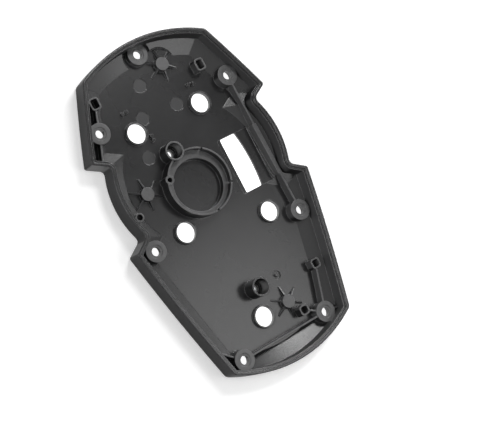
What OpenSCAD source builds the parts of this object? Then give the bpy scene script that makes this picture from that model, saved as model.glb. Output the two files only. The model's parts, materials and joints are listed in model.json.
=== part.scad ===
// Rear housing of a small instrument cluster, moulded in one piece.
// It lies on its closed back with the open, ribbed side up. +Y points to the wider head end.

/* [Outline] */
// Overall length over the two curved ends
frame_l = 200; // [190:1:210]
// Overall height from the closed back to the rim
frame_h = 14; // [13.5:0.1:16]
// Radius of the curved head end
head_end_r = 87.6; // [84:0.1:92]
// Radius of the curved tail end
tail_end_r = 83.1; // [80:0.1:88]
// Width across the head where its sides meet the curved end
head_end_w = 84; // [82:0.5:88]
// Distance of that meeting point from the middle of the length
head_end_y = 88; // [86:0.5:90]
// Width across the head at its lower corners
head_w = 118; // [115:0.5:121]
// Distance of the lower head corners from the middle of the length
head_y = 47.1; // [45.5:0.1:48.5]
// Width across the waist where the head ends
neck_w = 98.4; // [97:0.2:100]
// Distance of that narrow place from the middle of the length
neck_y = 41.7; // [40.8:0.1:42.6]
// Radius of the bulging waist
waist_r = 53.8; // [53:0.1:55]
// Distance of the waist centre from the middle of the length
waist_y = 19.8; // [19:0.1:20.6]
// Width across the waist where the tail begins
hip_w = 100; // [99:0.2:101]
// Distance of that narrow place below the middle of the length
hip_y = 0.5; // [0:0.1:1]
// Width across the tail at its upper corners
tail_w = 119; // [116:0.5:122]
// Distance of the upper tail corners below the middle of the length
tail_y = 6.7; // [6:0.1:8]
// Width across the tail where its sides meet the curved end
tail_end_w = 84; // [82:0.5:87]
// Distance of that meeting point below the middle of the length
tail_end_y = 86.8; // [85:0.2:88]
// Radius of the slightly bowed sides of the head
head_bow_r = 700; // [500:10:1200]
// Radius of the slightly bowed sides of the tail
tail_bow_r = 1100; // [900:10:1500]
// Radius of the nearly straight edges of the side notches
notch_bow_r = 600; // [400:10:900]
// Radius of the four corners at the curved ends
end_corner_r = 4; // [3.6:0.1:5]
// Radius of the four corners beside the notches
notch_corner_r = 1.6; // [1.2:0.1:2.4]
// Radius in the bottom of the notches
notch_fillet_r = 3.2; // [2:0.1:4]

/* [Shell] */
// Thickness of the closed floor
floor_t = 1.8; // [1.6:0.1:2.2]
// Thickness of the side wall
wall_t = 3; // [2.6:0.1:3.2]
// Width of the narrow lip on top of the wall
lip_t = 1.7; // [1.4:0.1:2]
// Depth of the step behind the lip
lip_h = 1.2; // [0.8:0.1:1.6]
// Width of the sloping border inside the sides of the head
side_slope_w = 10; // [9:0.1:11]
// Width of the sloping border inside the waist and the sides of the tail
tail_slope_w = 7.8; // [7:0.1:8.6]
// Width of the sloping border inside the curved ends
end_slope_w = 9.2; // [8.4:0.1:10]
// Width of the sloping border beside the notches
notch_slope_w = 7.5; // [7:0.1:8]
// Rise of the sloping border for each millimetre of width
slope_rise = 0.29; // [0.24:0.01:0.32]
// Width of the bevel round the back
back_bevel_w = 4; // [3:0.2:5]
// Radius of the inner wall corners at the curved ends
inner_corner_r = 1; // [0.6:0.1:1.6]
// Radius of the inner wall corners beside the notches
inner_notch_r = 0.5; // [0.4:0.1:1]

/* [Screw bosses] */
// Outer diameter of the screw bosses
boss_d = 12.2; // [11.4:0.1:13]
// Height of the boss tops above the back
boss_h = 8; // [7.4:0.1:8.6]
// Diameter of the screw holes
screw_d = 4.9; // [4.5:0.1:5.2]
// Thickness left under the screw head
screw_web_t = 2.4; // [2:0.1:3]
// Diameter of the screw recess that enters from the back
screw_recess_d = 9; // [8.4:0.1:9.6]
// Diameter of the shallow seat round each screw hole
seat_d = 7.4; // [6.8:0.1:8]
// Depth of that seat
seat_t = 0.4; // [0.3:0.1:0.6]
// Half the distance between the two head bosses
head_boss_x = 43.7; // [43:0.1:44.4]
// Distance of the head bosses from the middle of the length
head_boss_y = 60.9; // [60:0.1:61.8]
// Half the distance between the two tail bosses
tail_boss_x = 29.5; // [29:0.1:30]
// Distance of the tail bosses below the middle of the length
tail_boss_y = 85.2; // [84.6:0.1:85.6]
// Right hip boss, distance from the centre line
right_boss_x = 45.5; // [45:0.1:46]
// Right hip boss, distance below the middle of the length
right_boss_y = 27; // [26:0.1:28]
// Left hip boss, distance from the centre line
left_boss_x = 46.4; // [45.8:0.1:47]
// Left hip boss, distance below the middle of the length
left_boss_y = 9.8; // [9.4:0.1:10.4]
// Distance of the low boss from the curved head end beside it
end_boss_gap = 7.4; // [7:0.1:8]
// Height of the low boss above the back
end_boss_h = 5.2; // [4.8:0.1:5.6]
// Radius of the pocket round the low boss
end_pocket_r = 8.8; // [8.4:0.1:9.2]

/* [Lamp holes] */
// Diameter of the lamp holes
lamp_d = 11.6; // [11:0.1:12]
// Thickness of the collar round a lamp hole
collar_t = 0.9; // [0.7:0.1:1.2]
// Height of that collar above the floor
collar_h = 1.9; // [1.4:0.1:2.4]
// Diameter of the lamp seat in the back
lamp_seat_d = 14.4; // [14:0.1:15]
// Depth of the lamp seat
lamp_seat_t = 0.9; // [0.6:0.1:1]

/* [Dial ring] */
// Distance of the ring centre to the left of the centre line
ring_x = 4.1; // [3.6:0.1:4.6]
// Distance of the ring centre from the middle of the length
ring_y = 13.6; // [13:0.1:14.2]
// Outer radius of the ring wall
ring_r = 19.6; // [19:0.1:20.2]
// Thickness of the ring wall
ring_wall_t = 1; // [0.8:0.1:1.3]
// Height of the ring wall above the back
ring_h = 10.1; // [9.4:0.1:10.8]
// Radius of the opening in the ledge inside the ring
ledge_r = 15.2; // [14.8:0.1:15.6]
// Height of that ledge above the back
ledge_h = 6; // [5.4:0.1:6.6]
// Offset of the ledge opening towards the tail
ledge_shift = 1.3; // [0.8:0.1:1.6]
// Width of the slots in the ring wall
slot_w = 1.2; // [1:0.1:1.6]
// Diameter of the pin socket on the ring
socket_d = 5.2; // [4.8:0.1:5.6]
// Diameter of the hole in the pin socket
socket_bore_d = 2.8; // [2.4:0.1:3]
// Height of the lone pin socket beside the waist wall
side_socket_h = 5.4; // [5:0.1:6]
// Diameter of the hole in that lone socket
side_socket_bore_d = 3.4; // [3:0.1:3.6]

/* [Round tubes] */
// Outer diameter of the two tubes
tube_d = 11; // [10.6:0.1:11.6]
// Bore of the two tubes
tube_bore_d = 9; // [8.6:0.1:9.2]
// Diameter of the smaller hole at the foot of the tubes
tube_foot_d = 6.2; // [6.2:0.1:6.8]
// Height of the tube beside the ring
ring_tube_h = 10.9; // [10.4:0.1:11.4]
// Height of the tube in the tail
tail_tube_h = 12.2; // [11.6:0.1:12.8]

/* [Display window] */
// Distance of the straight side from the centre line
window_x = 23.2; // [22.8:0.1:23.8]
// Distance of the bowed side from the centre line
window_bow_x = 35.7; // [35:0.1:36.2]
// Radius of the bowed side
window_bow_r = 98; // [90:1:110]
// Radius of the window corners
window_corner_r = 0.8; // [0.4:0.1:1.2]
// Upper end of the window, from the middle of the length
window_top_y = 29.6; // [29:0.1:30.2]
// Lower end of the window, below the middle of the length
window_low_y = 4.2; // [3.6:0.1:4.8]
// Width of the strip of sunk panel on the straight side of the window
panel_edge_w = 2.2; // [1.6:0.1:3]
// Width of the sunk panel round the window
panel_w = 21.2; // [20.6:0.1:21.6]
// Depth of the sunk panel
panel_t = 0.5; // [0.3:0.1:0.7]

/* [Ribs and small fittings] */
// Thickness of the stiffening ribs
rib_t = 1; // [0.8:0.1:1.3]
// Height of the stiffening ribs above the back
rib_h = 7.6; // [7:0.1:8]
// Thickness of the broad middle part of the right waist rib
broad_rib_t = 2.6; // [2.2:0.1:3]
// Upper end of that broad part, from the middle of the length
broad_rib_y = 29; // [27:0.5:31]
// Length of that broad part
broad_rib_l = 32; // [30:0.5:34]
// Height of the short gusset ribs at the tail bosses above the back
gusset_h = 6.6; // [6:0.1:7.4]
// Outer width of the small square sockets
square_w = 5.9; // [5.5:0.1:6.2]
// Outer length of the two sockets in the head
head_square_l = 7.2; // [6.8:0.1:7.6]
// Outer corner radius of the sockets
square_r = 1.6; // [1.3:0.1:1.8]
// Wall of the small square sockets
square_t = 0.9; // [0.7:0.1:1.1]
// Height of the small square sockets above the back
square_h = 8; // [7.4:0.1:8.6]
// Diameter of the ribbed support posts
post_d = 7.8; // [7.4:0.1:8.2]
// Height of the ribbed support posts above the back
post_h = 5.1; // [4.6:0.1:5.6]
// Reach of the ribs of a support post from its centre
post_reach = 9.8; // [9.4:0.1:10.2]
// Distance of the rib tops below the top of a support post
post_rib_drop = 0.8; // [0.5:0.1:1.2]
// Height of the outer toe of those ribs above the floor
post_toe_h = 0.6; // [0.4:0.1:0.9]
// Radius of the pocket round the support post in the head
post_pocket_r = 10.2; // [10:0.1:10.8]
// Diameter of the small guide pegs
peg_d = 2.2; // [2:0.1:2.4]
// Height of the small guide pegs above the back
peg_h = 3.4; // [3:0.1:4.2]
// Diameter of the sunk gate mark in the tail
gate_d = 5; // [4.6:0.1:5.4]
// Depth of the gate mark
gate_t = 0.7; // [0.5:0.1:0.9]
// Diameter of the nub left in the gate mark
gate_nub_d = 2.3; // [2:0.1:2.6]
// Height of that nub above the back
gate_nub_h = 2.4; // [2:0.1:2.8]
// Diameter of the ejector marks
mark_d = 8; // [7.4:0.1:8.6]
// Depth of the ejector marks
mark_t = 0.2; // [0.15:0.05:0.3]

/* [Hidden] */
$fn = 96;
// Lets each rounding cross the edges it blends, so that no sliver is left between them
blend = 0.002;
// Facets of the long, nearly straight arcs
bow_fn = 720;
rim_z = frame_h - lip_h;
end_boss_y = frame_l / 2 - end_boss_gap;

// An edge of the outline is a circle [centre x, centre y, radius] with the part inside it.
// Corner points of the right half, clockwise from the head end
head_end_pt = [head_end_w / 2, head_end_y];
head_pt = [head_w / 2, head_y];
neck_pt = [neck_w / 2, neck_y];
hip_pt = [hip_w / 2, -hip_y];
tail_pt = [tail_w / 2, -tail_y];
tail_end_pt = [tail_end_w / 2, -tail_end_y];
head_end = [0, frame_l / 2 - head_end_r, head_end_r];
head_side = bow(head_end_pt, head_pt, head_bow_r);
head_foot = bow(head_pt, neck_pt, notch_bow_r);
waist = [0, waist_y, waist_r];
tail_top = bow(hip_pt, tail_pt, notch_bow_r);
tail_side = bow(tail_pt, tail_end_pt, tail_bow_r);
tail_end = [0, tail_end_r - frame_l / 2, tail_end_r];

boss_spots = [
    [head_boss_x, head_boss_y],
    [-head_boss_x, head_boss_y],
    [tail_boss_x, -tail_boss_y],
    [-tail_boss_x, -tail_boss_y],
    [right_boss_x, -right_boss_y],
    [-left_boss_x, -left_boss_y]
];
lamp_spots = [[22.3, 53.6], [-21.9, 52.9], [29.9, -19.5], [-23.1, -8.2], [-4.2, -70.4]];
head_squares = [[-38.2, 76.8], [31, 73.1]];
tail_squares = [[38.3, -58.3], [17.9, -78.2]];
post_spots = [[11.2, 82.4], [-33.8, 20.2], [13, -69.7]];
peg_spots = [[-24.2, 65.9], [-21.4, 66.2], [20.9, 65.8], [24, 65.2], [-14.4, 48.3], [-14.6, 45.8]];
mark_spots = [[-13.9, 59], [-21.7, 38], [9.3, 58.6], [-6.1, 76.4]];
slot_angles = [58, -25, -84];
ring_tube_spot = [-9.9, 34.8];
tail_tube_spot = [-1.8, -54.2];
socket_spot = [-20.4, 21.5];
side_socket_spot = [-44.7, 10.7];
gate_spot = [15.4, -53.6];
left_rib_end = [-49.6, 46.5];
window_bow_y = 10.7;
left_gusset_end = [-41.4, -74.3];
right_gusset_end = [38.8, -86.4];

// Circle of radius r through p and q, centred to the right of the way from p to q
function bow(p, q, r) =
    let (way = q - p, half = norm(way) / 2, side = [way[1], -way[0]] / norm(way))
    let (centre = (p + q) / 2 + side * sqrt(r * r - half * half))
    [centre[0], centre[1], r];

// Place where circles of radius ra about a and rb about b meet, left (1) or right (-1) of a to b
function meet(a, ra, b, rb, side) =
    let (way = [b[0] - a[0], b[1] - a[1]], far = norm(way), ahead = way / far)
    let (x = (far * far + ra * ra - rb * rb) / (2 * far), y = sqrt(ra * ra - x * x))
    [a[0], a[1]] + ahead * x + [-ahead[1], ahead[0]] * y * side;

// Point at distance r from the centre of a, in the direction of p
function toward(a, p, r) =
    let (c = [a[0], a[1]])
    c + (p - c) * r / norm(p - c);

function flip(a) = [-a[0], a[1], a[2]];

// Distance along x from the centre of a circle of radius r to its edge, at height y
function along(r, y) = sqrt(r * r - y * y);

module edge_disc(a, inset) {
    translate([a[0], a[1]])
        circle(a[2] - inset, $fn = bow_fn);
}

// What lies between a corner and the round edge of radius r that touches its two sides at p and q
module beyond_round(centre, p, corner, q, r) {
    reach = 1.6;
    difference() {
        polygon([for (end = [centre, p, corner, q]) centre + (end - centre) * reach]);
        translate(centre)
            circle(r + blend);
    }
}

// Sharp tip that rounding takes off the corner between edges a and b
module tip(a, b, r, inset) {
    ra = a[2] - inset;
    rb = b[2] - inset;
    centre = meet(a, ra - r, b, rb - r, -1);
    beyond_round(centre, toward(a, centre, ra), meet(a, ra, b, rb, -1), toward(b, centre, rb), r);
}

// Filling of the inner corner between edges a and b
module web(a, b, r, inset) {
    ra = a[2] - inset;
    rb = b[2] - inset;
    centre = meet(a, ra + r, b, rb + r, 1);
    beyond_round(centre, toward(a, centre, ra), meet(a, ra, b, rb, 1), toward(b, centre, rb), r);
}

module both_sides() {
    children();
    mirror([1, 0, 0])
        children();
}

// Outline moved inwards by inset, with rounded end corners and notch corners
module plan(inset, end_r, notch_r) {
    difference() {
        intersection() {
            edge_disc(head_end, inset);
            edge_disc(head_side, inset);
            edge_disc(flip(head_side), inset);
            edge_disc(head_foot, inset);
            edge_disc(flip(head_foot), inset);
        }
        both_sides() {
            tip(head_end, head_side, end_r, inset);
            tip(head_side, head_foot, notch_r, inset);
        }
    }
    edge_disc(waist, inset);
    difference() {
        intersection() {
            edge_disc(tail_end, inset);
            edge_disc(tail_side, inset);
            edge_disc(flip(tail_side), inset);
            edge_disc(tail_top, inset);
            edge_disc(flip(tail_top), inset);
        }
        both_sides() {
            tip(tail_side, tail_end, end_r, inset);
            tip(tail_top, tail_side, notch_r, inset);
        }
    }
    both_sides() {
        web(head_foot, waist, notch_fillet_r + inset, inset);
        web(waist, tail_top, notch_fillet_r + inset, inset);
    }
}

// Space above a slope that starts at height z, inset from the round edge a, and rises outwards
module above_cone(a, inset, z) {
    h = frame_h + 1 - z;
    translate([a[0], a[1], z])
        cylinder(h = h, r1 = a[2] - inset, r2 = a[2] - inset + h / slope_rise);
}

// The same along the straight line from p to q, with the part to the right of that way
module above_plane(p, q, inset, z) {
    way = q - p;
    h = frame_h + 1 - z;
    translate([p[0], p[1], z])
        rotate([90, 0, atan2(way[1], way[0]) - 90])
            translate([0, 0, -frame_l])
                linear_extrude(2 * frame_l)
                    polygon([[inset, 0], [frame_l, 0], [frame_l, h], [inset - h / slope_rise, h]]);
}

// What lies above the slope round an end, along its two sides and beside its two notches
module end_dish(end, side_from, side_to, foot_from, foot_to, widths, z) {
    intersection() {
        intersection() {
            children();
            above_cone(end, widths[0], z);
        }
        above_plane(side_from, side_to, widths[1], z);
        mirror([1, 0, 0])
            above_plane(side_from, side_to, widths[1], z);
        above_plane(foot_from, foot_to, widths[2], z);
        mirror([1, 0, 0])
            above_plane(foot_from, foot_to, widths[2], z);
    }
}

// The given body cut down to three shallow dishes that meet at the waist.
// The slopes reach in by the widths at the ends, the head sides, the notches and the tail sides.
module dished(widths, z) {
    end_dish(head_end, head_end_pt, head_pt, head_pt, neck_pt, widths, z)
        children();
    intersection() {
        children();
        above_cone(waist, widths[3], z);
    }
    end_dish(tail_end, tail_pt, tail_end_pt, hip_pt, tail_pt, [widths[0], widths[3], widths[2]], z)
        children();
}

module outer_body() {
    dished([back_bevel_w, back_bevel_w, back_bevel_w, back_bevel_w], 0)
        translate([0, 0, -1])
            linear_extrude(frame_h + 1)
                plan(0, end_corner_r, notch_corner_r);
}

// Inside of the side wall, up to the step behind the lip
module inner_room() {
    linear_extrude(rim_z + 0.5)
        plan(wall_t, inner_corner_r, inner_notch_r);
}

module tray() {
    head_side_w = wall_t + side_slope_w;
    tail_side_w = wall_t + tail_slope_w;
    dished([wall_t + end_slope_w, head_side_w, wall_t + notch_slope_w, tail_side_w], floor_t)
        inner_room();
    translate([0, 0, rim_z])
        linear_extrude(lip_h + 1)
            plan(lip_t, end_corner_r - lip_t, inner_notch_r);
}

// Pockets that cut the sloping border back to the floor
module pockets() {
    intersection() {
        inner_room();
        union() {
            translate([0, end_boss_y, floor_t])
                cylinder(h = frame_h, r = end_pocket_r);
            translate([post_spots[0][0], post_spots[0][1], floor_t])
                cylinder(h = frame_h, r = post_pocket_r);
        }
    }
}

// Screw hole through a boss of height h, with its seat on top and its recess in the back
module screw_hole(h) {
    translate([0, 0, -1])
        cylinder(h = frame_h + 2, d = screw_d);
    translate([0, 0, -1])
        cylinder(h = h - seat_t - screw_web_t + 1, d = screw_recess_d);
    translate([0, 0, h - seat_t])
        cylinder(h = 1, d = seat_d);
}

// Upright rib from p to q
module rib(p, q, t, h) {
    way = q - p;
    translate(p)
        rotate(atan2(way[1], way[0]))
            translate([0, -t / 2, 0])
                cube([norm(way), t, h]);
}

module soft_square(w, l, r) {
    square([w, l - 2 * r], center = true);
    square([w - 2 * r, l], center = true);
    for (x = [-1, 1], y = [-1, 1])
        translate([x * (w / 2 - r), y * (l / 2 - r)])
            circle(r);
}

// Socket of width w and length l, or its blind hole
module square_socket(w, l) {
    linear_extrude(square_h)
        soft_square(w, l, square_r);
}

module square_hole(w, l) {
    translate([0, 0, floor_t])
        linear_extrude(frame_h)
            soft_square(w - 2 * square_t, l - 2 * square_t, square_r - square_t / 2);
}

// Round post with six rib feet
module ribbed_post() {
    toe = [post_reach, floor_t + post_toe_h];
    shoulder = [post_d / 2, post_h - post_rib_drop];
    cylinder(h = post_h, d = post_d);
    for (a = [30 : 60 : 330])
        rotate([90, 0, a])
            translate([0, 0, -rib_t / 2])
                linear_extrude(rib_t)
                    polygon([[0, 0], [post_reach, 0], toe, shoulder, [0, shoulder[1]]]);
}

module dial_ring() {
    translate([-ring_x, ring_y, 0]) {
        difference() {
            cylinder(h = ring_h, r = ring_r);
            translate([0, 0, ledge_h])
                cylinder(h = ring_h, r = ring_r - ring_wall_t);
            translate([0, -ledge_shift, floor_t])
                cylinder(h = ring_h, r = ledge_r);
            for (a = slot_angles)
                rotate(a)
                    translate([ring_r - 2 * ring_wall_t, -slot_w / 2, ledge_h])
                        cube([3 * ring_wall_t, slot_w, ring_h]);
        }
    }
    translate(socket_spot)
        cylinder(h = ring_h, d = socket_d);
}

module tubes() {
    translate(ring_tube_spot)
        cylinder(h = ring_tube_h, d = tube_d);
    translate(tail_tube_spot)
        cylinder(h = tail_tube_h, d = tube_d);
}

module ribs() {
    head_left = [-head_boss_x, head_boss_y];
    head_right = [head_boss_x, head_boss_y];
    hip_right = [right_boss_x, -right_boss_y];
    tail_left = [-tail_boss_x, -tail_boss_y];
    tail_right = [tail_boss_x, -tail_boss_y];
    way = hip_right - head_right;
    broad_top = head_right + way * (broad_rib_y - head_boss_y) / way[1];
    broad_low = broad_top + way / norm(way) * broad_rib_l;
    rib(head_right, hip_right, rib_t, boss_h);
    rib(broad_top, broad_low, broad_rib_t, boss_h);
    rib(head_squares[0], head_left, rib_t, rib_h);
    rib(head_left, left_rib_end, rib_t, rib_h);
    rib(tail_squares[0], tail_right, rib_t, rib_h);
    rib(tail_squares[1], tail_right, rib_t, rib_h);
    rib(tail_left, tail_right, rib_t, rib_h);
    rib(tail_left, left_gusset_end, rib_t, gusset_h);
    rib(tail_right, right_gusset_end, rib_t, gusset_h);
}

// Everything that stands on the floor inside the tray
module fittings() {
    for (p = boss_spots)
        translate(p)
            cylinder(h = boss_h, d = boss_d);
    translate([0, end_boss_y, 0])
        cylinder(h = end_boss_h, d = boss_d);
    for (p = lamp_spots)
        translate(p)
            cylinder(h = floor_t + collar_h, d = lamp_d + 2 * collar_t);
    for (p = head_squares)
        translate(p)
            square_socket(square_w, head_square_l);
    for (p = tail_squares)
        translate(p)
            square_socket(square_w, square_w);
    for (p = post_spots)
        translate(p)
            ribbed_post();
    for (p = peg_spots)
        translate(p)
            cylinder(h = peg_h, d = peg_d, $fn = 24);
    translate(gate_spot)
        cylinder(h = gate_nub_h, d = gate_nub_d);
    translate(side_socket_spot)
        cylinder(h = side_socket_h, d = socket_d);
    dial_ring();
    tubes();
    ribs();
}

module window() {
    r = window_corner_r;
    bow_centre = [window_bow_x - window_bow_r, window_bow_y];
    translate([0, 0, -1])
        linear_extrude(frame_h)
            difference() {
                intersection() {
                    translate([window_x, -window_low_y])
                        square([window_bow_x - window_x + 1, window_top_y + window_low_y]);
                    translate(bow_centre)
                        circle(window_bow_r, $fn = bow_fn);
                }
                for (end = [[window_top_y, 1], [-window_low_y, -1]]) {
                    y = end[0] - end[1] * r;
                    left = [window_x + r, y];
                    right = [bow_centre[0] + along(window_bow_r - r, y - window_bow_y), y];
                    right_corner = [bow_centre[0] + along(window_bow_r, end[0] - window_bow_y), end[0]];
                    beyond_round(left, [window_x, y], [window_x, end[0]], [left[0], end[0]], r);
                    right_foot = toward(bow_centre, right, window_bow_r);
                    beyond_round(right, right_foot, right_corner, [right[0], end[0]], r);
                }
            }
}

// Shallow sunk panel round the window
module panel() {
    translate([window_x - panel_edge_w, -window_low_y, floor_t - panel_t])
        cube([panel_w, window_top_y + window_low_y, frame_h]);
}

module holes() {
    for (p = boss_spots)
        translate(p)
            screw_hole(boss_h);
    translate([0, end_boss_y, 0])
        screw_hole(end_boss_h);
    for (p = lamp_spots)
        translate([p[0], p[1], -1]) {
            cylinder(h = frame_h, d = lamp_d);
            cylinder(h = lamp_seat_t + 1, d = lamp_seat_d);
        }
    for (p = [ring_tube_spot, tail_tube_spot])
        translate([p[0], p[1], -1]) {
            cylinder(h = frame_h + 2, d = tube_foot_d);
            translate([0, 0, floor_t + 1])
                cylinder(h = frame_h, d = tube_bore_d);
        }
    translate([socket_spot[0], socket_spot[1], floor_t])
        cylinder(h = frame_h, d = socket_bore_d);
    translate([side_socket_spot[0], side_socket_spot[1], floor_t])
        cylinder(h = frame_h, d = side_socket_bore_d);
    for (p = head_squares)
        translate(p)
            square_hole(square_w, head_square_l);
    for (p = tail_squares)
        translate(p)
            square_hole(square_w, square_w);
    for (p = mark_spots)
        translate([p[0], p[1], floor_t - mark_t])
            cylinder(h = 1, d = mark_d);
    translate([gate_spot[0], gate_spot[1], floor_t - gate_t])
        difference() {
            cylinder(h = 1, d = gate_d);
            translate([0, 0, -1])
                cylinder(h = 3, d = gate_nub_d);
        }
    window();
    panel();
}

module frame() {
    color("#222224")
        difference() {
            outer_body();
            difference() {
                union() {
                    tray();
                    pockets();
                }
                fittings();
            }
            holes();
        }
}

frame();
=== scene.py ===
"""Dresses the moulded instrument cluster frame in black satin plastic and lights it on a white table."""
import json

import bpy
from mathutils import Matrix, Vector

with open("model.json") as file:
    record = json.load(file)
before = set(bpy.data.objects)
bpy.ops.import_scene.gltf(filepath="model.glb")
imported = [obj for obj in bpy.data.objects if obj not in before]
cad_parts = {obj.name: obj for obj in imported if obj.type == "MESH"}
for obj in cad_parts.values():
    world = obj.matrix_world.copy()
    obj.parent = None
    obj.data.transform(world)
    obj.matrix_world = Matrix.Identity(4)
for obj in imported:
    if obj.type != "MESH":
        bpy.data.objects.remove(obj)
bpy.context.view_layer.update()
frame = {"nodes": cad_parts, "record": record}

# Camera of the photograph, as its place and its directions in the frame's axes
CAMERA_PLACE = Vector((-0.31487, -0.00216, 0.63552))
CAMERA_UP = Vector((0.4158, 0.8871, 0.2004))
CAMERA_BACK = Vector((-0.4656, 0.0184, 0.8848))
LENS_MM = 90.39
SENSOR_MM = 36
NEAREST_SEEN = 0.01

# Places and heights on the frame, in metres
MIDDLE = Vector((0, 0, 0.006))
MARK_SPOTS = [(-0.0139, 0.059), (-0.0217, 0.038), (0.0093, 0.0586), (-0.0061, 0.0764)]
MARK_RADIUS = 0.004
MARK_RIM = 0.0048
FITTING_TOPS = (0.0045, 0.0122)
HEIGHT_BLUR = 0.0003
RIM_HEIGHTS = (0.0128, 0.0136)
WALL_DISTANCES = (0.020, 0.035)

# How far out a soft disc is at full strength, as part of its radius
SOFT_RIM = 0.93

# Ramps to 1 on level and on steep faces, by the upward part of the normal, and on sharp edges, by its lean
LEVEL = (0.97, 0.995)
STEEP = (0.45, 0.2)
SHARP = (0.995, 0.8)

# Colours of the plastic
DARK_PLASTIC = (0.010, 0.010, 0.0104)
CLOUDED_PLASTIC = (0.019, 0.019, 0.0197)
# Painted light: the inner walls are lighter than the rest, standing in for light from the room around
INNER_WALL_PAINTED_LIGHT = (0.075, 0.075, 0.0765)
# Level tops of the fittings, paler than the rest
PALE_TOPS = (0.066, 0.066, 0.067)
EJECTOR_MARKS = (0.06, 0.06, 0.061)
# Edge wear, made pale enough to also be a painted highlight along the edges
SCUFFED_EDGE_HIGHLIGHT = (0.17, 0.17, 0.173)

# How much the marks cover, and how the pale tops and the scuffed edges with their painted highlight follow
# the scuffs: two scuff values, a share at each
MARK_SHARE = 0.6
PALE_TOP_PATCHES = (0.2, 0.75, 0.55, 1)
SCUFFED_HIGHLIGHT_SPREAD = (0.3, 0.7, 0.25, 0.8)

# Roughness of the plastic, what some surfaces add to it, and how strongly it reflects
LEAST_ROUGHNESS = 0.165
ADDED_ROUGHNESS = {"clouds": 0.05, "tops": 0.12, "sides": 0.15, "scuffs": 0.08}
IOR = 1.5
GLOSS = 0.5
OUTER_WALL_GLOSS = 0.06

# Noises on the plastic, as scale, detail and roughness
CLOUDS = (28, 4, 0.5)
GRAIN = (3200, 2, 0.5)
SCUFFS = (420, 5, 0.65)

# Widths of the scuffed strips with their painted highlight and of the roundings along edges, and the grain's
# height, in metres
SCUFFED_HIGHLIGHT_WIDTH = 0.00045
EDGE_ROUNDING = 0.0005
RIM_ROUNDING = 0.0011
GRAIN_HEIGHT = 0.00002

# Strength of the relief, and how high the clouds are beside the grain
RELIEF = 0.35
CLOUDS_TO_GRAIN = 1.5

# The table's size and its gap below the frame, in metres, and its colour and roughness
TABLE_SIZE = 6
TABLE_GAP = 0.0002
TABLE_COLOUR = (0.9, 0.9, 0.9)
TABLE_ROUGHNESS = 0.8

# How far round each opening the table glows white as painted light, and round the tubes is left dark as
# painted shade, in metres
LAMP_REACH = 0.0085
SCREW_REACH = 0.0065
WINDOW_REACH = 0.0115
TUBE_REACH = 0.0022
TUBE_SHADE = 0.007

# The head end's screw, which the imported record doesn't place, and the discs that cover the bowed window
HEAD_END_SCREW = (0, 0.0926)
WINDOW_PARTS = [(0.0295, 0.024), (0.0305, 0.013), (0.0295, 0.002)]

# The table's own glow: a little everywhere, and rising to full white between two distances
TABLE_LIFT = 0.25
NEAR_TABLE = 0.2
FAR_TABLE = 0.8

# Lamps as direction from the frame, size across and along in metres, and power in watts
LAMPS = {
    "head_lamp": ((0.36, 0.395, 0.85), (0.34, 0.22), 5),
    "tail_lamp": ((0.37, -0.26, 0.89), (0.46, 0.60), 3),
    "right_key": ((0.74, 0.46, 0.49), (0.40, 0.40), 6),
    "left_fill": ((-0.78, 0.15, 0.55), (0.70, 0.70), 8),
    "overhead": ((-0.20, 0, 0.98), (0.90, 1.10), 2.8),
    "slope_lamp": ((0.62, -0.30, 0.73), (0.40, 0.40), 0.45),
    "lip_lamp": ((0.90, 0.12, 0.40), (0.22, 0.90), 6),
}
LAMP_DISTANCE = 1.3
ROOM_LIGHT = 0.1


def make_camera():
    data = bpy.data.cameras.new("camera")
    data.lens = LENS_MM
    data.sensor_width = SENSOR_MM
    data.clip_start = NEAREST_SEEN
    camera = bpy.data.objects.new("camera", data)
    bpy.context.scene.collection.objects.link(camera)
    camera.matrix_world = placed(CAMERA_PLACE, CAMERA_UP.cross(CAMERA_BACK), CAMERA_UP, CAMERA_BACK)
    bpy.context.scene.camera = camera


def placed(place, right, up, back):
    """Matrix of an object at a place whose own axes are the three directions."""
    turn = Matrix((right, up, back)).transposed().to_4x4()
    return Matrix.Translation(place) @ turn


def feed(tree, socket, value):
    """Links another node's output to an input, or writes a plain value there."""
    if isinstance(value, bpy.types.NodeSocket):
        tree.links.new(value, socket)
    elif socket.type == "RGBA":
        socket.default_value = (*value, 1)
    else:
        socket.default_value = value


def add_node(tree, kind, **values):
    """A shader node with its properties and inputs set by name, a space in a name written as _."""
    node = tree.nodes.new(kind)
    for name, value in values.items():
        if name in node.bl_rna.properties:
            setattr(node, name, value)
        else:
            feed(tree, node.inputs[name.replace("_", " ")], value)
    return node


def calculated(tree, operation, *values):
    node = add_node(tree, "ShaderNodeMath", operation=operation)
    for socket, value in zip(node.inputs, values):
        feed(tree, socket, value)
    return node.outputs["Value"]


def vector_value(tree, operation, *vectors):
    """The number that a vector operation gives, such as a length or a dot product."""
    node = add_node(tree, "ShaderNodeVectorMath", operation=operation)
    for socket, vector in zip(node.inputs, vectors):
        feed(tree, socket, vector)
    return node.outputs["Value"]


def all_of(tree, first, *others):
    """The product of shares, which is 1 where all of them are."""
    for other in others:
        first = calculated(tree, "MULTIPLY", first, other)
    return first


def ramp(tree, value, low, high, start=0.0, end=1.0):
    """Maps value smoothly from low..high to start..end."""
    node = add_node(tree, "ShaderNodeMapRange", interpolation_type="SMOOTHSTEP",
                    Value=value, From_Min=low, From_Max=high, To_Min=start, To_Max=end)
    return node.outputs["Result"]


def noise(tree, place, scale, detail, roughness):
    node = add_node(tree, "ShaderNodeTexNoise", Vector=place, Scale=scale, Detail=detail, Roughness=roughness)
    return node.outputs["Fac"]


def upright(tree, vector):
    """The height of a place, or the upward part of a normal."""
    return add_node(tree, "ShaderNodeSeparateXYZ", Vector=vector).outputs["Z"]


def painted(tree, share, below, colour):
    """The colour below, covered by another one where share is 1."""
    node = add_node(tree, "ShaderNodeMix", data_type="RGBA")
    feed(tree, node.inputs[0], share)
    feed(tree, node.inputs[6], below)
    feed(tree, node.inputs[7], colour)
    return node.outputs[2]


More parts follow.
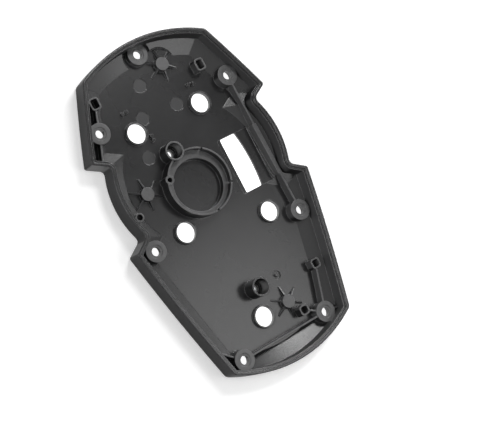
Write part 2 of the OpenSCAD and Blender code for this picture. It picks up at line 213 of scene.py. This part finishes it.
def disc_share(tree, place, spots, radius):
    """1 inside upright cylinders of one radius about the spots, 0 elsewhere, with a soft rim."""
    flat = add_node(tree, "ShaderNodeVectorMath", operation="MULTIPLY")
    feed(tree, flat.inputs[0], place)
    feed(tree, flat.inputs[1], (1, 1, 0))
    share = 0.0
    for x, y in spots:
        away = vector_value(tree, "DISTANCE", flat.outputs["Vector"], (x, y, 0))
        share = calculated(tree, "MAXIMUM", ramp(tree, away, radius, radius * SOFT_RIM), share)
    return share


def scuffed_highlit_share(tree, place):
    """1 on the sharp edges, which carry edge wear and a painted highlight, 0 on flat faces and round the
    ejector marks.
    """
    soft = add_node(tree, "ShaderNodeBevel", samples=6, Radius=SCUFFED_HIGHLIGHT_WIDTH).outputs["Normal"]
    plain = tree.nodes.new("ShaderNodeNewGeometry").outputs["Normal"]
    edges = ramp(tree, vector_value(tree, "DOT_PRODUCT", soft, plain), *SHARP)
    off_marks = ramp(tree, disc_share(tree, place, MARK_SPOTS, MARK_RIM), 0, 1, 1, 0)
    return all_of(tree, edges, off_marks)


def shares_of_surface(tree, place):
    """Shares from 0 to 1 that tell the kinds of surface apart, and the noises on them."""
    normal = tree.nodes.new("ShaderNodeNewGeometry").outputs["True Normal"]
    upward = upright(tree, normal)
    height = upright(tree, place)
    outward = vector_value(tree, "DOT_PRODUCT", normal, place)
    near, far = WALL_DISTANCES
    low, high = FITTING_TOPS
    above = ramp(tree, height, low, low + HEIGHT_BLUR)
    below = ramp(tree, height, high, high - HEIGHT_BLUR)
    sides = ramp(tree, calculated(tree, "ABSOLUTE", upward), *STEEP)
    return {
        "clouds": noise(tree, place, *CLOUDS),
        "grain": noise(tree, place, *GRAIN),
        "scuffs": noise(tree, place, *SCUFFS),
        "tops": all_of(tree, ramp(tree, upward, *LEVEL), above, below),
        "rim": ramp(tree, height, *RIM_HEIGHTS),
        "sides": sides,
        # The inner walls, where light is painted into the colour
        "inner walls": all_of(tree, sides, ramp(tree, outward, -near, -far)),
        "outer walls": all_of(tree, sides, ramp(tree, outward, near, far)),
        "marks": disc_share(tree, place, MARK_SPOTS, MARK_RADIUS),
        # Sharp edges, which carry edge wear and a painted highlight
        "scuffed_and_highlit": scuffed_highlit_share(tree, place),
    }


def plastic_colour(tree, shares):
    """Clouded black, with painted light on the inner walls, paler level tops, ejector marks, and scuffed
    edges lightened into a painted highlight.
    """
    colour = painted(tree, shares["clouds"], DARK_PLASTIC, CLOUDED_PLASTIC)
    # Painted light on the inner walls
    colour = painted(tree, shares["inner walls"], colour, INNER_WALL_PAINTED_LIGHT)
    # Paler level tops of the fittings, in patches
    pale_tops = all_of(tree, shares["tops"], ramp(tree, shares["scuffs"], *PALE_TOP_PATCHES))
    colour = painted(tree, pale_tops, colour, PALE_TOPS)
    colour = painted(tree, all_of(tree, shares["marks"], MARK_SHARE), colour, EJECTOR_MARKS)
    # Edge wear and painted highlight on the sharp edges
    scuffed_and_highlit = all_of(tree, shares["scuffed_and_highlit"], ramp(tree, shares["scuffs"], *SCUFFED_HIGHLIGHT_SPREAD))
    return painted(tree, scuffed_and_highlit, colour, SCUFFED_EDGE_HIGHLIGHT)


def plastic_roughness(tree, shares):
    roughness = LEAST_ROUGHNESS
    for name, added in ADDED_ROUGHNESS.items():
        roughness = calculated(tree, "MULTIPLY_ADD", shares[name], added, roughness)
    return roughness


def plastic_normal(tree, shares):
    """Rounded edges, most of all on the rim, under a fine grain."""
    rounding = ramp(tree, shares["rim"], 0, 1, EDGE_ROUNDING, RIM_ROUNDING)
    edge = add_node(tree, "ShaderNodeBevel", samples=8, Radius=rounding)
    relief = calculated(tree, "MULTIPLY_ADD", shares["clouds"], CLOUDS_TO_GRAIN, shares["grain"])
    bump = add_node(tree, "ShaderNodeBump", Strength=RELIEF, Distance=GRAIN_HEIGHT,
                    Height=relief, Normal=edge.outputs["Normal"])
    return bump.outputs["Normal"]


def black_plastic():
    material = bpy.data.materials.new("black_satin_plastic")
    material.use_nodes = True
    tree = material.node_tree
    shader = tree.nodes["Principled BSDF"]
    place = tree.nodes.new("ShaderNodeTexCoord").outputs["Object"]
    shares = shares_of_surface(tree, place)
    gloss = ramp(tree, shares["outer walls"], 0, 1, GLOSS, OUTER_WALL_GLOSS)
    feed(tree, shader.inputs["IOR"], IOR)
    feed(tree, shader.inputs["Base Color"], plastic_colour(tree, shares))
    feed(tree, shader.inputs["Roughness"], plastic_roughness(tree, shares))
    feed(tree, shader.inputs["Specular IOR Level"], gloss)
    feed(tree, shader.inputs["Normal"], plastic_normal(tree, shares))
    return material


def opening_places(word):
    """Places of the record's openings that have a word in their names, such as the lamp holes."""
    places = []
    for opening in frame["record"]["physics"]["openings"]:
        low, high = opening["box_m"]
        if word in opening["name"]:
            places.append(((low[0] + high[0]) / 2, (low[1] + high[1]) / 2))
    return places


def screw_places():
    """Places of the screws of the two bolt patterns, the hips and the head end."""
    places = opening_places("hip_recess") + [HEAD_END_SCREW]
    for mount in frame["record"]["mounts"]:
        if mount["kind"] == "bolt_pattern":
            x, y = mount["pos_m"][:2]
            half = mount["dims"]["spacing_x_mm"] / 1000 / 2
            places += [(x - half, y), (x + half, y)]
    return places


def table_glow(tree):
    """How bright the table itself is: white far away, painted light below the openings, painted shade below
    the tubes.
    """
    place = tree.nodes.new("ShaderNodeTexCoord").outputs["Object"]
    tubes = opening_places("tube_foot")
    # Painted light: white glowing discs on the table below the openings and inside the tubes
    painted_light_discs = [
        (opening_places("lamp_hole"), LAMP_REACH),
        (screw_places(), SCREW_REACH),
        (WINDOW_PARTS, WINDOW_REACH),
        (tubes, TUBE_REACH),
    ]
    # Painted shade: the table's glow is taken away below the tubes
    lift_and_painted_shade = ramp(tree, disc_share(tree, place, tubes, TUBE_SHADE), 0, 1, TABLE_LIFT, 0)
    far = ramp(tree, vector_value(tree, "LENGTH", place), NEAR_TABLE, FAR_TABLE)
    glow = calculated(tree, "MAXIMUM", lift_and_painted_shade, far)
    for spots, reach in painted_light_discs:
        glow = calculated(tree, "MAXIMUM", glow, disc_share(tree, place, spots, reach))
    return glow


def seen_share(tree):
    """1 for rays of the camera, of gloss and through glass, 0 for the light that falls on the frame."""
    paths = tree.nodes.new("ShaderNodeLightPath").outputs
    seen = calculated(tree, "MAXIMUM", paths["Is Camera Ray"], paths["Is Glossy Ray"])
    return calculated(tree, "MAXIMUM", seen, paths["Is Transmission Ray"])


def white_table():
    """Floor that shows white to the camera and in reflections, and keeps the frame's soft shadow."""
    bpy.ops.mesh.primitive_plane_add(size=TABLE_SIZE, location=(0, 0, -TABLE_GAP))
    floor = bpy.context.object
    floor.name = "table"
    material = bpy.data.materials.new("white_table")
    material.use_nodes = True
    tree = material.node_tree
    shader = tree.nodes["Principled BSDF"]
    feed(tree, shader.inputs["Base Color"], TABLE_COLOUR)
    feed(tree, shader.inputs["Roughness"], TABLE_ROUGHNESS)
    glow = add_node(tree, "ShaderNodeEmission", Strength=all_of(tree, table_glow(tree), seen_share(tree)))
    both = tree.nodes.new("ShaderNodeAddShader")
    feed(tree, both.inputs[0], shader.outputs["BSDF"])
    feed(tree, both.inputs[1], glow.outputs["Emission"])
    feed(tree, tree.nodes["Material Output"].inputs["Surface"], both.outputs["Shader"])
    floor.data.materials.append(material)


def soft_lamp(name, direction, size, power):
    """Area lamp that looks at the frame from a direction, with its width along the frame's width."""
    data = bpy.data.lights.new(name, "AREA")
    data.shape = "RECTANGLE"
    data.size, data.size_y = size
    data.energy = power
    lamp = bpy.data.objects.new(name, data)
    bpy.context.scene.collection.objects.link(lamp)
    back = Vector(direction).normalized()
    across = (Vector((1, 0, 0)) - back * back.x).normalized()
    lamp.matrix_world = placed(MIDDLE + back * LAMP_DISTANCE, across, back.cross(across), back)


def light_the_room():
    """A room that the camera sees white and that lights the frame a little, and the soft lamps in it."""
    world = bpy.data.worlds.new("room")
    bpy.context.scene.world = world
    world.use_nodes = True
    tree = world.node_tree
    camera_ray = tree.nodes.new("ShaderNodeLightPath").outputs["Is Camera Ray"]
    room = tree.nodes["Background"]
    feed(tree, room.inputs["Color"], (1, 1, 1))
    feed(tree, room.inputs["Strength"], ramp(tree, camera_ray, 0, 1, ROOM_LIGHT, 1))
    for name, (direction, size, power) in LAMPS.items():
        soft_lamp(name, direction, size, power)


def main():
    make_camera()
    plastic = black_plastic()
    for node in frame["nodes"].values():
        node.data.materials.clear()
        node.data.materials.append(plastic)
    white_table()
    light_the_room()
    bpy.context.scene.view_settings.view_transform = "Standard"


main()
